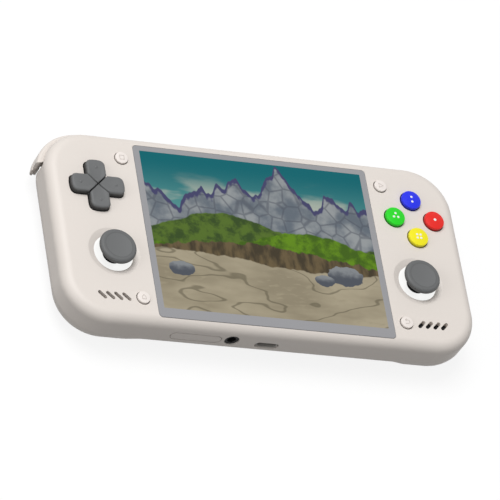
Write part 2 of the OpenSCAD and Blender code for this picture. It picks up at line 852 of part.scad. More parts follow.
module stick_cradle(side) {
    color("#d8d9da") on_side(side) translate([stick_at[0], stick_at[1], pivot_z]) difference() {
        pivot_frame(cradle_w);
        rotate([0, 90, 0]) cylinder(r = gimbal_r + run_gap, h = 2 * cradle_w, center = true);
    }
}

module left_stick_cradle() { stick_cradle(-1); }
module right_stick_cradle() { stick_cradle(1); }

module stick_yoke(side) {
    reach = cradle_w / 2 - 0.3;
    color(rubber_grey) on_side(side) translate([stick_at[0], stick_at[1], pivot_z]) {
        difference() {
            pivot_frame(yoke_w);
            rotate([90, 0, 0]) cylinder(r = gimbal_r + run_gap, h = 2 * yoke_w, center = true);
        }
        for (s = [-1, 1]) rotate([0, s * 90, 0]) translate([0, 0, yoke_w / 2 - 0.5])
            cylinder(r = gimbal_r, h = reach - yoke_w / 2 + 0.5);
    }
}

module left_stick_yoke() { stick_yoke(-1); }
module right_stick_yoke() { stick_yoke(1); }

// Shaft on a cross pin, with a domed skirt that closes the well
module stick_shaft(side) {
    skirt_cut = skirt_r * 0.65;
    color(black) on_side(side) translate([stick_at[0], stick_at[1], pivot_z]) {
        sphere(r = hub_r);
        rotate([90, 0, 0]) cylinder(r = gimbal_r, h = yoke_w - 0.6, center = true);
        cylinder(r = shaft_r, h = cap_low_z + cap_socket - pivot_z);
        intersection() {
            difference() {
                sphere(r = skirt_r);
                sphere(r = skirt_r - 0.8);
            }
            translate([-skirt_r, -skirt_r, skirt_cut]) cube(2 * skirt_r);
        }
    }
}

module left_stick_shaft() { stick_shaft(-1); }
module right_stick_shaft() { stick_shaft(1); }

// Round cap with a dished top and a socket for the shaft
module stick_cap(side) {
    rim = cap_t * 0.39;
    low_rim = cap_t * 0.58;
    dish = 0.35;
    dish_d = cap_d - 4;
    dish_r = (dish_d * dish_d / 4 + dish * dish) / (2 * dish);
    color(key_grey) on_side(side) translate([stick_at[0], stick_at[1], cap_low_z]) difference() {
        union() {
            rotate_extrude() difference() {
                edge_section(cap_d / 2, cap_t, rim, low_rim);
                translate([0, cap_t - dish + dish_r]) circle(dish_r, $fn = fine);
            }
            translate([0, 0, -0.6]) cylinder(r = shaft_r + 1.4, h = 1);
        }
        translate([0, 0, -over]) cylinder(r = shaft_r + run_gap, h = cap_socket + over + run_gap);
    }
}

module left_stick_cap() { stick_cap(-1); }
module right_stick_cap() { stick_cap(1); }

// Pale ring that fills the well and is held under the front wall
module light_ring(side) {
    r = ring_d / 2;
    hole = shaft_r + 2;
    top = front_z - well_lip - 0.1;
    color("#f7f6f2") on_side(side) translate([stick_at[0], stick_at[1], 0]) rotate_extrude()
        polygon([[hole, plate_z - 1.1], [r + 1.5, plate_z - 1.1], [r + 1.5, plate_z], [r, plate_z], [r, top],
            [r - 0.7, top], [hole, plate_z - 0.4]]);
}

module left_light_ring() { light_ring(-1); }
module right_light_ring() { light_ring(1); }

module direction_pad() {
    top = front_z + pad_rise;
    color(key_grey) translate([group_at[0], group_at[1], pad_low_z]) difference() {
        union() {
            linear_extrude(top - pad_low_z) pad_outline(0);
            linear_extrude(pad_flange_t) pad_outline(pad_flange_w);
        }
        for (turn = [45, 135]) translate([0, 0, top - pad_low_z]) rotate([0, 0, turn])
            cube([pad_arm * 1.5, 0.5, 0.6], center = true);
    }
}

// Domed disc that the direction pad rocks on
module pad_rocker() {
    low_z = control_top_z + membrane_t + press_gap;
    dome_r = 2;
    color(black) translate([group_at[0], group_at[1], low_z]) {
        cylinder(r = 3, h = 0.5);
        intersection() {
            translate([0, 0, pad_low_z - run_gap - low_z - dome_r]) sphere(r = dome_r);
            cylinder(r = dome_r, h = 2 * dome_r);
        }
    }
}

// Rubber sheet with a contact dome under each key
module key_membrane(half, dome_at, dome_top_z) {
    translate([-half, -half, control_top_z]) cube([2 * half, 2 * half, membrane_t]);
    for (i = [0:3]) translate([dome_at * cos(90 * i), dome_at * sin(90 * i), control_top_z])
        cylinder(r = 2.4, h = dome_top_z - control_top_z);
}

module pad_membrane() {
    color(rubber_grey) translate([group_at[0], group_at[1], 0])
        key_membrane(membrane_half, pad_len / 3, control_top_z + membrane_t + 0.2);
}

module button_membrane() {
    color(rubber_grey) translate([-group_at[0], group_at[1], 0])
        key_membrane(membrane_half, button_pitch, key_low_z - button_travel - press_gap);
}

// Round key with a domed top, held by a flange under the front wall
module round_key(d, rise, soft, dome) {
    top = front_z + rise;
    dome_r = (d * d / 4 + dome * dome) / (2 * dome);
    rotate_extrude() intersection() {
        translate([0, key_low_z]) edge_section(d / 2, top - key_low_z, soft, 0);
        translate([0, top - dome_r]) circle(dome_r, $fn = fine);
    }
    translate([0, 0, key_low_z]) cylinder(r = d / 2 + flange_w, h = flange_t);
}

module face_button(i) {
    translate([-group_at[0], group_at[1], 0]) translate(button_offset(i))
        round_key(button_d, button_rise, 0.9, 0.45);
}

module blue_button() { color("#2433e0") face_button(1); }
module green_button() { color("#14c81e") face_button(2); }
module red_button() { color("#e01616") face_button(0); }
module yellow_button() { color("#f5dd00") face_button(3); }

module small_button(side, at) {
    color("#ebe4dd") on_side(side) translate([at[0], at[1], 0]) round_key(small_d, small_rise, 0.4, 0.15);
}

module select_button() { small_button(-1, small_up_at); }
module start_button() { small_button(1, small_up_at); }
module home_button() { small_button(-1, small_low_at); }
module back_button() { small_button(1, small_low_at); }

module small_button_pads() {
    color(rubber_grey) both_sides() posts([small_up_at, small_low_at], small_pad_r, control_top_z,
        key_low_z - small_travel - press_gap);
}

// Bar that follows the corner of the body to its end and runs on along the top edge
module shoulder_bar(z0, h, t, proud, soft_top, soft_low, end_room) {
    r = corner_r + proud;
    mid = [corner_at[0] - shoulder_shift, corner_at[1], z0];
    end_r = t / 2;
    end_at = r - 0.25;
    end_angle = asin((notch_y + end_room + end_r - mid[1]) / end_at);
    translate(mid) {
        difference() {
            rotate([0, 0, 90]) rotate_extrude(angle = 90) bar_section(r, h, t, soft_top, soft_low);
            rotate([0, 0, 180 - end_angle]) translate([0, 0, -over]) linear_extrude(h + 2 * over)
                difference() {
                    square([2 * r, r]);
                    translate([end_at, 0]) circle(end_r);
                }
        }
        rotate([90, 0, 90]) linear_extrude(notch_x - 2 * shoulder_gap - mid[0])
            bar_section(r, h, t, soft_top, soft_low);
    }
}

module bar_section(r, h, t, soft_top, soft_low) {
    difference() {
        edge_section(r, h, soft_top, soft_low);
        translate([-over, -over]) square([r - t + over, h + 2 * over]);
    }
}

// Arm from a shoulder bar to its pin
module shoulder_arm(z0, h, bar_inner) {
    low_y = pin_at[1] - arm_half;
    top_y = body_top_y + bar_inner + over;
    translate([arm_x, low_y, z0]) cube([notch_x - 2 * shoulder_gap - arm_x, top_y - low_y, h]);
    translate([arm_x, low_y, z0]) cube([pin_at[0] - arm_x, 2 * arm_half, h]);
    posts([pin_at], pin_boss_r, z0, z0 + h);
}

module bumper(side) {
    color(shell_grey) on_side(side) difference() {
        union() {
            shoulder_bar(bumper_low_z, bumper_h, bumper_t, shoulder_proud, 1.2, 0.6, bumper_swing);
            shoulder_arm(bumper_low_z, bumper_h, shoulder_proud - bumper_t);
        }
        posts([pin_at], pin_r + run_gap, 0, front_z);
    }
}

module trigger(side) {
    arm_z = trigger_top_z - arm_h;
    color(shell_grey) on_side(side) difference() {
        union() {
            shoulder_bar(trigger_low_z, trigger_h, trigger_t, trigger_proud, 0.6, 2.2, trigger_swing);
            shoulder_arm(arm_z, arm_h, trigger_proud - trigger_t);
        }
        posts([pin_at], pin_r + run_gap, 0, front_z);
    }
}

module left_bumper() { bumper(-1); }
module right_bumper() { bumper(1); }
module left_trigger() { trigger(-1); }
module right_trigger() { trigger(1); }

module shoulder_pins() {
    color(steel) both_sides() posts([pin_at], pin_r, pin_low_z, pin_top_z);
}

// Small upright boards on the notch ribs, with a switch behind each shoulder key
module shoulder_switches() {
    rib_y = body_top_y - notch_inset;
    mid_x = corner_at[0];
    strip_len = 13;
    bumper_rest = body_top_y + shoulder_proud - bumper_t - 0.7;
    trigger_rest = body_top_y + trigger_proud - trigger_t - 1.1;
    color(board_green) both_sides() {
        translate([mid_x - switch_w, rib_y - rib_t + 0.2, seam_z])
            cube([strip_len, rib_t - 0.4, bumper_top_z - seam_z - 0.6]);
        translate([mid_x - switch_w / 2, rib_y - 0.3, bumper_low_z + 0.8])
            cube([switch_w, bumper_rest - rib_y + 0.3, switch_h]);
        translate([mid_x - switch_w / 2, rib_y, trigger_low_z + 1.2])
            cube([switch_w, trigger_rest - rib_y, switch_h]);
    }
}

module top_key(x) {
    color(shell_grey) {
        along_y(key_flange_y - key_flange_t / 2, body_top_y + key_proud) translate([x, key_z])
            capsule(key_len, key_h);
        along_y(key_flange_y - key_flange_t, key_flange_y) translate([x, key_z])
            capsule(key_len + 1, key_h + 1);
    }
}

module power_button() { top_key(power_x); }
module volume_up_button() { top_key(volume_up_x); }
module volume_down_button() { top_key(volume_down_x); }

// Upright board on the back wall with a switch behind each top key
module top_key_board() {
    left_x = volume_up_x - key_len / 2 - 1;
    color(board_green) {
        translate([left_x, key_board_y, floor_z])
            cube([power_x - left_x + key_len / 2 + 1, board_t, key_z + 1.5 - floor_z]);
        for (x = [volume_up_x, volume_down_x, power_x])
            translate([x - switch_w / 2, key_board_y + board_t, key_z - switch_h / 2])
                cube([switch_w, switch_t, switch_h]);
    }
}

front_shell();
back_shell();
screen_glass();
screen_tape();
display_panel();
main_board();
processor();
heat_spreader();
fan_housing();
fan_rotor();
battery();
left_control_board();
right_control_board();
left_speaker();
right_speaker();
headphone_jack();
usb_port();
card_socket();
card_cover();
case_screws();
board_screws();
ribbon_cables();
left_stick_housing();
right_stick_housing();
stick_switches();
left_stick_cradle();
right_stick_cradle();
left_stick_yoke();
right_stick_yoke();
left_stick_shaft();
right_stick_shaft();
left_stick_cap();
right_stick_cap();
left_light_ring();
right_light_ring();
direction_pad();
pad_rocker();
pad_membrane();
blue_button();
green_button();
red_button();
yellow_button();
button_membrane();
select_button();
start_button();
home_button();
back_button();
small_button_pads();
left_bumper();
right_bumper();
left_trigger();
right_trigger();
shoulder_pins();
shoulder_switches();
power_button();
volume_up_button();
volume_down_button();
top_key_board();
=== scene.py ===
import json
import math

import bmesh
import bpy
from mathutils import Matrix, Vector


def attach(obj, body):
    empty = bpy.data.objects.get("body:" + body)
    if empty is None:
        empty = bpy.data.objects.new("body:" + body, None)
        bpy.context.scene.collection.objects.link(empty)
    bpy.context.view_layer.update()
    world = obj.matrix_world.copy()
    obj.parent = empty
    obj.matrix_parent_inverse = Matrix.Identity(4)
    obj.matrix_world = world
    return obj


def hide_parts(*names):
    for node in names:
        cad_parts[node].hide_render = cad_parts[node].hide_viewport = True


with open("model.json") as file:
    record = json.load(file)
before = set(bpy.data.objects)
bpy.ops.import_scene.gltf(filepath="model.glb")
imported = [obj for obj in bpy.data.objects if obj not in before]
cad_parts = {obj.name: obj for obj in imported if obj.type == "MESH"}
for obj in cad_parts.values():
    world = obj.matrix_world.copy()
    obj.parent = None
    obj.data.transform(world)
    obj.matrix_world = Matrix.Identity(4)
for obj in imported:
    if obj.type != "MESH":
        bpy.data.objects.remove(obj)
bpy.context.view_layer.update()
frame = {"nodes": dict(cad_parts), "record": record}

MM = 0.001
scene = bpy.context.scene
scene.view_settings.view_transform = "Standard"

# Sizes that the solids share, in millimetres
SCREEN_MID = (0.0, -0.4)
SCREEN_HALF = (47.75, 35.8)
FRONT_Z = 20.0
PAD_MID = (-68.45, 16.3)
PAD_LOW_Z, PAD_TOP_Z = 15.85, 22.6
BUTTON_MID = (68.45, 16.3)
BUTTON_PITCH = 8.7
BUTTON_TOP_Z = 21.9
SMALL_X, SMALL_UP_Y, SMALL_LOW_Y = 56.05, 30.65, -32.85
SMALL_TOP_Z = 21.0
STICK_MID = (65.05, -12.85)
STICK_DISH_R = 5.5
CAP_LOW_Z, CAP_TOP_Z = 21.8, 24.9


# Camera

CAMERA_BACK = (-0.4131, -0.5134, 0.7521)
CAMERA_RIGHT = (0.9061, -0.1488, 0.3961)
CAMERA_AWAY = 1701
CAMERA_SHIFT = (-5.438, -4.031)
LENS, SENSOR = 315, 36


def photo_camera():
    """The camera of the photograph: a long lens, turned about its own axis."""
    back = Vector(CAMERA_BACK).normalized()
    right = Vector(CAMERA_RIGHT)
    right = (right - right.dot(back) * back).normalized()
    up = back.cross(right)
    target = Vector((*SCREEN_MID, FRONT_Z))
    place = target + CAMERA_AWAY * back + CAMERA_SHIFT[0] * right + CAMERA_SHIFT[1] * up
    data = bpy.data.cameras.new("photo_camera")
    data.lens = LENS
    data.sensor_width = SENSOR
    camera = bpy.data.objects.new("photo_camera", data)
    scene.collection.objects.link(camera)
    turned = Matrix((right, up, back)).transposed().to_4x4()
    camera.matrix_world = Matrix.Translation(place * MM) @ turned
    scene.camera = camera


photo_camera()


# Shader building

def put(tree, socket, value):
    if isinstance(value, bpy.types.NodeSocket):
        tree.links.new(value, socket)
    else:
        socket.default_value = value


def node(tree, kind, inputs=None, **settings):
    made = tree.nodes.new(kind)
    for name, value in settings.items():
        setattr(made, name, value)
    for name, value in (inputs or {}).items():
        put(tree, made.inputs[name], value)
    return made


def calc(tree, operation, a, b=0.0, c=0.0):
    return node(tree, "ShaderNodeMath", {0: a, 1: b, 2: c}, operation=operation).outputs[0]


def scaled(tree, vector, share):
    """A colour or vector times one number."""
    return node(tree, "ShaderNodeVectorMath", {0: vector, "Scale": share}, operation="SCALE").outputs[0]


def stretched(tree, vector, shares):
    """A vector times a number along each axis."""
    return node(tree, "ShaderNodeVectorMath", {0: vector, 1: shares}, operation="MULTIPLY").outputs[0]


def seen(tree):
    """1 for rays that look straight, in a mirror or through glass, 0 for rays that carry light."""
    paths = node(tree, "ShaderNodeLightPath").outputs
    bent = calc(tree, "MAXIMUM", paths["Is Glossy Ray"], paths["Is Transmission Ray"])
    return calc(tree, "MAXIMUM", paths["Is Camera Ray"], bent)


def blend(tree, share, a, b):
    mixed = node(tree, "ShaderNodeMix", {0: share, 6: a, 7: b}, data_type="RGBA")
    return mixed.outputs[2]


def step(tree, value, low, high):
    """0 below low, 1 above high, smooth between; each may be a number or a socket."""
    ramp = node(tree, "ShaderNodeMapRange", {"Value": value, "From Min": low, "From Max": high},
                interpolation_type="SMOOTHSTEP")
    return ramp.outputs["Result"]


def noise(tree, vector, scale, detail=2.0, roughness=0.5):
    made = node(tree, "ShaderNodeTexNoise", {"Vector": vector, "Scale": scale, "Detail": detail,
                                             "Roughness": roughness})
    return made.outputs["Fac"]


def noise_line(tree, along, scale, offset, detail=2.0):
    """Noise along one direction, from about 0.3 to 0.7."""
    w = calc(tree, "MULTIPLY_ADD", along, scale, offset)
    made = node(tree, "ShaderNodeTexNoise", {"W": w, "Scale": 1.0, "Detail": detail},
                noise_dimensions="1D")
    return made.outputs["Fac"]


def place_mm(tree, middle=(0.0, 0.0, 0.0)):
    """Object coordinates in millimetres from a point."""
    coords = node(tree, "ShaderNodeTexCoord").outputs["Object"]
    moved = node(tree, "ShaderNodeVectorMath", {0: scaled(tree, coords, 1 / MM), 1: middle},
                 operation="SUBTRACT")
    return moved.outputs[0]


def group_tree(name, inputs, outputs):
    tree = bpy.data.node_groups.new(name, "ShaderNodeTree")
    for label, kind, value in inputs:
        socket = tree.interface.new_socket(label, in_out="INPUT", socket_type=kind)
        socket.default_value = value
    for label, kind in outputs:
        tree.interface.new_socket(label, in_out="OUTPUT", socket_type=kind)
    return tree, tree.nodes.new("NodeGroupInput").outputs, tree.nodes.new("NodeGroupOutput").inputs


def moulded_skin():
    """Fine spark-eroded grain of a moulded part, with a faint broad unevenness of colour."""
    tree, given, out = group_tree(
        "moulded_skin",
        [("Color", "NodeSocketColor", (0.5, 0.5, 0.5, 1)), ("Grain per mm", "NodeSocketFloat", 2.0),
         ("Mottle", "NodeSocketFloat", 0.03), ("Speckle", "NodeSocketFloat", 0.03),
         ("Gloss", "NodeSocketFloat", 0.5), ("Gloss spread", "NodeSocketFloat", 0.1)],
        [("Color", "NodeSocketColor"), ("Roughness", "NodeSocketFloat"),
         ("Height", "NodeSocketFloat")])
    place = place_mm(tree)
    broad = calc(tree, "SUBTRACT", noise(tree, place, 0.06), 0.5)
    grain = noise(tree, place, given["Grain per mm"], 3.0)
    fine = calc(tree, "SUBTRACT", grain, 0.5)
    shade = calc(tree, "MULTIPLY_ADD", broad, given["Mottle"], 1.0)
    shade = calc(tree, "MULTIPLY_ADD", fine, given["Speckle"], shade)
    tree.links.new(scaled(tree, given["Color"], shade), out["Color"])
    tree.links.new(calc(tree, "MULTIPLY_ADD", fine, given["Gloss spread"], given["Gloss"]),
                   out["Roughness"])
    tree.links.new(grain, out["Height"])
    return tree


PICTURE_EDGE = 0.04


def screen_picture():
    """A plain landscape: teal sky, blue-grey crags, green hills, an earth bank and sandy ground."""
    tree, _, out = group_tree("screen_picture", [],
                              [("Color", "NodeSocketColor"), ("Area", "NodeSocketFloat")])
    place = place_mm(tree, (*SCREEN_MID, 0.0))
    apart = node(tree, "ShaderNodeSeparateXYZ", {0: place}).outputs
    x, y = apart[0], apart[1]

    def below(line, soft=0.35):
        return step(tree, calc(tree, "SUBTRACT", line, y), -soft, soft)

    def wave(scale, phase, size):
        swing = calc(tree, "SINE", calc(tree, "MULTIPLY_ADD", x, scale, phase))
        return calc(tree, "MULTIPLY", swing, size)

    def line(level, *parts):
        total = level
        for part in parts:
            total = calc(tree, "ADD", part, total)
        return total

    def rough(scale, offset, size, detail=3.0):
        return calc(tree, "MULTIPLY", noise_line(tree, x, scale, offset, detail), size)

    # Sky with thin cloud low down
    sky = blend(tree, step(tree, y, 2.0, 34.0), (0.10, 0.30, 0.29, 1), (0.0, 0.125, 0.15, 1))
    drawn_out = stretched(tree, place, (0.5, 1.6, 1.0))
    cloud = step(tree, noise(tree, drawn_out, 0.05, 4.0), 0.52, 0.66)
    low_sky = calc(tree, "SUBTRACT", 1.0, step(tree, y, 14.0, 30.0))
    colour = blend(tree, calc(tree, "MULTIPLY", cloud, low_sky), sky, (0.42, 0.45, 0.38, 1))

    # Crags with jointed faces and dark tops
    crag_top = line(-2.0, rough(0.045, 7.2, 48.0, 4.0), wave(0.09, 0.6, 2.5))
    joints = node(tree, "ShaderNodeTexVoronoi", {"Vector": place, "Scale": 0.16, "Randomness": 0.8},
                  feature="DISTANCE_TO_EDGE").outputs["Distance"]
    joint = calc(tree, "SUBTRACT", 1.0, step(tree, joints, 0.02, 0.09))
    crag = blend(tree, step(tree, noise(tree, place, 0.11, 4.0), 0.35, 0.68),
                 (0.12, 0.145, 0.175, 1), (0.29, 0.31, 0.32, 1))
    crag = blend(tree, calc(tree, "MULTIPLY", joint, 0.55), crag, (0.075, 0.085, 0.11, 1))
    cap_line = line(-5.0, crag_top, calc(tree, "MULTIPLY", noise(tree, place, 0.22, 3.0), 5.0))
    crag = blend(tree, step(tree, calc(tree, "SUBTRACT", y, cap_line), -0.5, 0.8), crag,
                 (0.055, 0.055, 0.135, 1))
    colour = blend(tree, below(crag_top), colour, crag)

    # Two rows of hills
    for level, phase, size, offset, bright, dark in (
            (1.5, 2.6, 6.5, 3.1, (0.085, 0.15, 0.020, 1), (0.035, 0.070, 0.014, 1)),
            (-3.5, 0.4, 6.0, 8.7, (0.115, 0.245, 0.008, 1), (0.050, 0.115, 0.006, 1))):
        hill_top = line(level, wave(0.062, phase, size), rough(0.10, offset, 4.0))
        tuft = step(tree, noise(tree, place, 0.16 + 0.02 * phase, 5.0, 0.6), 0.40, 0.62)
        colour = blend(tree, below(hill_top), colour, blend(tree, tuft, bright, dark))

    # Earth bank under the hills
    bank_top = line(-9.0, wave(0.045, 1.9, 3.6), rough(0.16, 1.3, 5.5, 4.0))
    upright = stretched(tree, place, (1.0, 0.35, 1.0))
    earth = blend(tree, step(tree, noise(tree, upright, 0.30, 4.0), 0.38, 0.64),
                  (0.135, 0.098, 0.048, 1), (0.052, 0.040, 0.022, 1))
    colour = blend(tree, below(bank_top), colour, earth)

    # Sandy ground with soft patches and dark cracks
    ground_top = line(-13.0, wave(0.050, 3.4, 2.6), rough(0.09, 5.5, 4.0))
    flat = stretched(tree, place, (0.40, 1.15, 1.0))
    sand = blend(tree, step(tree, noise(tree, flat, 0.075, 3.0), 0.36, 0.66),
                 (0.385, 0.335, 0.235, 1), (0.270, 0.232, 0.158, 1))
    sand = blend(tree, step(tree, noise(tree, flat, 0.55, 5.0), 0.5, 0.75), sand,
                 (0.335, 0.290, 0.200, 1))
    ridge = calc(tree, "ABSOLUTE", calc(tree, "SUBTRACT", noise(tree, flat, 0.085, 1.5), 0.52))
    crack = calc(tree, "SUBTRACT", 1.0, step(tree, ridge, 0.004, 0.016))
    sand = blend(tree, calc(tree, "MULTIPLY", crack, 0.62), sand, (0.115, 0.100, 0.062, 1))
    colour = blend(tree, below(ground_top), colour, sand)

    # Boulders on the sand
    wobble = calc(tree, "MULTIPLY_ADD", noise(tree, place, 0.35, 2.0), 0.5, -0.25)
    for mid_x, mid_y, half_w, half_h in ((33.0, -13.5, 8.0, 4.6), (23.5, -16.5, 4.2, 2.7),
                                         (-37.5, -17.0, 5.6, 3.4)):
        across = calc(tree, "DIVIDE", calc(tree, "SUBTRACT", x, mid_x), half_w)
        tall = calc(tree, "DIVIDE", calc(tree, "SUBTRACT", y, mid_y), half_h)
        reach = calc(tree, "SQRT", calc(tree, "MULTIPLY_ADD", across, across,
                                        calc(tree, "MULTIPLY", tall, tall)))
        inside = calc(tree, "SUBTRACT", 1.0,
                      step(tree, calc(tree, "ADD", reach, wobble), 0.93, 1.0))
        lit = step(tree, calc(tree, "MULTIPLY_ADD", wobble, 2.2, tall), -0.3, 0.7)
        stone = blend(tree, lit, (0.075, 0.085, 0.105, 1), (0.225, 0.240, 0.255, 1))
        colour = blend(tree, inside, colour, stone)

    # Picture area with a crisp edge
    area = None
    for along, half in ((x, SCREEN_HALF[0]), (y, SCREEN_HALF[1])):
        gap = calc(tree, "SUBTRACT", half, calc(tree, "ABSOLUTE", along))
        within = step(tree, gap, -PICTURE_EDGE, PICTURE_EDGE)
        area = within if area is None else calc(tree, "MULTIPLY", area, within)
    tree.links.new(colour, out["Color"])
    tree.links.new(area, out["Area"])
    return tree


def foot_shade():
    """Share of light on a key: full near its top, less towards its foot in the hole around it."""
    tree, given, out = group_tree(
        "foot_shade",
        [("Low", "NodeSocketFloat", 20.0), ("High", "NodeSocketFloat", 21.0),
         ("Low share", "NodeSocketFloat", 0.5)],
        [("Share", "NodeSocketFloat")])
    z = node(tree, "ShaderNodeSeparateXYZ", {0: place_mm(tree)}).outputs[2]
    rise = step(tree, z, given["Low"], given["High"])
    kept = calc(tree, "SUBTRACT", 1.0, given["Low share"])
    tree.links.new(calc(tree, "MULTIPLY_ADD", rise, kept, given["Low share"]), out["Share"])
    return tree


def drawn_lines():
    """Fine lines along X, as rolling or turning leaves them."""
    tree, given, out = group_tree("drawn_lines", [("Lines per mm", "NodeSocketFloat", 6.0)],
                                  [("Streak", "NodeSocketFloat")])
    per_mm = given["Lines per mm"]
    shares = node(tree, "ShaderNodeCombineXYZ", {0: 0.15, 1: per_mm, 2: per_mm}).outputs[0]
    streak = noise(tree, stretched(tree, place_mm(tree), shares), 1.0, 3.0)
    tree.links.new(streak, out["Streak"])
    return tree


SKIN = moulded_skin()
PICTURE = screen_picture()
FOOT = foot_shade()
LINES = drawn_lines()


def new_material(name):
    material = bpy.data.materials.new(name)
    material.use_nodes = True
    tree = material.node_tree
    return material, tree, tree.nodes["Principled BSDF"]


def use_group(tree, group):
    made = tree.nodes.new("ShaderNodeGroup")
    made.node_tree = group
    return made


def painted_foot_shade(low_z, high_z, low_share):
    """Painted shade on a key, darker towards its foot between two heights, in millimetres."""
    def shade(tree):
        foot = use_group(tree, FOOT)
        for label, value in (("Low", low_z), ("High", high_z), ("Low share", low_share)):
            foot.inputs[label].default_value = value
        return foot.outputs["Share"]
    return shade


DISH_SHADE_LINE_W = 0.35


def painted_cap_shade(low_share, line_share, rim_share):
    """Painted shade on a stick cap: a fine dark line around its dish, a darker rim and a darker foot.
    """
    foot = painted_foot_shade(CAP_LOW_Z, CAP_TOP_Z - 0.15, low_share)

    def shade(tree):
        apart = node(tree, "ShaderNodeSeparateXYZ", {0: place_mm(tree)}).outputs
        across = calc(tree, "SUBTRACT", calc(tree, "ABSOLUTE", apart[0]), STICK_MID[0])
        along = calc(tree, "SUBTRACT", apart[1], STICK_MID[1])
        reach = calc(tree, "SQRT", calc(tree, "MULTIPLY_ADD", across, across,
                                        calc(tree, "MULTIPLY", along, along)))
        rim = step(tree, reach, STICK_DISH_R - DISH_SHADE_LINE_W, STICK_DISH_R)
        past = step(tree, reach, STICK_DISH_R, STICK_DISH_R + DISH_SHADE_LINE_W)
        line = calc(tree, "SUBTRACT", rim, past)
        clear = calc(tree, "MULTIPLY_ADD", rim, -rim_share, 1.0)
        clear = calc(tree, "MULTIPLY_ADD", line, -line_share, clear)
        return calc(tree, "MULTIPLY", clear, foot(tree))
    return shade


def plastic(name, colour, gloss=0.5, grain=2.0, depth=0.02, mottle=0.03, speckle=0.03, spread=0.12,
            specular=0.5, glow=0.0, glow_colour=(1.0, 1.0, 1.0), shade=None):
    """Moulded plastic; grain is per millimetre and depth in millimetres."""
    material, tree, shader = new_material(name)
    skin = use_group(tree, SKIN)
    for label, value in (("Color", (*colour, 1)), ("Grain per mm", grain), ("Mottle", mottle),
                         ("Speckle", speckle), ("Gloss", gloss), ("Gloss spread", spread)):
        skin.inputs[label].default_value = value
    bump = node(tree, "ShaderNodeBump", {"Height": skin.outputs["Height"], "Strength": 0.5,
                                         "Distance": depth * MM})
    base_colour = skin.outputs["Color"]
    # A shade, where given, is painted shade multiplied into the base colour
    if shade is not None:
        base_colour = scaled(tree, base_colour, shade(tree))
    tree.links.new(base_colour, shader.inputs["Base Color"])
    tree.links.new(skin.outputs["Roughness"], shader.inputs["Roughness"])
    tree.links.new(bump.outputs["Normal"], shader.inputs["Normal"])
    shader.inputs["Specular IOR Level"].default_value = specular
    shader.inputs["Emission Color"].default_value = (*glow_colour, 1)
    shader.inputs["Emission Strength"].default_value = glow
    return material


BORDER_GREY = (0.335, 0.335, 0.350, 1)
PICTURE_UNLIT, PICTURE_GLOW = 0.45, 0.55


def screen_laminate():
    """Front glass with a grey printed border and the lit picture bonded behind it."""
    material, tree, shader = new_material("screen_laminate")
    picture = use_group(tree, PICTURE)
    skin = use_group(tree, SKIN)
    for label, value in (("Color", BORDER_GREY), ("Speckle", 0.04), ("Gloss", 0.16),
                         ("Gloss spread", 0.03)):
        skin.inputs[label].default_value = value
    area = picture.outputs["Area"]
    unlit = scaled(tree, picture.outputs["Color"], PICTURE_UNLIT)
    tree.links.new(blend(tree, area, skin.outputs["Color"], unlit), shader.inputs["Base Color"])
    tree.links.new(skin.outputs["Roughness"], shader.inputs["Roughness"])
    tree.links.new(scaled(tree, picture.outputs["Color"], area), shader.inputs["Emission Color"])
    shader.inputs["Emission Strength"].default_value = PICTURE_GLOW
    shader.inputs["Specular IOR Level"].default_value = 0.12
    return material


def circuit_board():
    """Green solder mask over copper tracks, with a speckle of vias."""
    material, tree, shader = new_material("circuit_board")
    place = place_mm(tree)
    tracks = node(tree, "ShaderNodeTexBrick",
                  {"Vector": place, "Color1": (0.020, 0.110, 0.050, 1),
                   "Color2": (0.028, 0.130, 0.060, 1), "Mortar": (0.060, 0.220, 0.105, 1),
                   "Scale": 0.6, "Mortar Size": 0.03, "Brick Width": 1.7, "Row Height": 0.45})
    vias = node(tree, "ShaderNodeTexVoronoi", {"Vector": place, "Scale": 0.7}).outputs["Distance"]
    via = calc(tree, "SUBTRACT", 1.0, step(tree, vias, 0.10, 0.16))
    tree.links.new(blend(tree, via, tracks.outputs["Color"], (0.45, 0.40, 0.24, 1)),
                   shader.inputs["Base Color"])
    bump = node(tree, "ShaderNodeBump", {"Height": tracks.outputs["Fac"], "Strength": 0.4,
                                         "Distance": 0.03 * MM})
    tree.links.new(bump.outputs["Normal"], shader.inputs["Normal"])
    shader.inputs["Roughness"].default_value = 0.35
    return material


def drawn_metal(name, colour, gloss=0.3, metallic=1.0):
    """Rolled or turned metal, duller between its fine lines."""
    material, tree, shader = new_material(name)
    streak = use_group(tree, LINES).outputs["Streak"]
    dull = tuple(0.72 * c for c in colour)
    tree.links.new(blend(tree, streak, (*dull, 1), (*colour, 1)), shader.inputs["Base Color"])
    tree.links.new(calc(tree, "MULTIPLY_ADD", streak, 0.2, gloss - 0.1), shader.inputs["Roughness"])
    shader.inputs["Metallic"].default_value = metallic
    return material


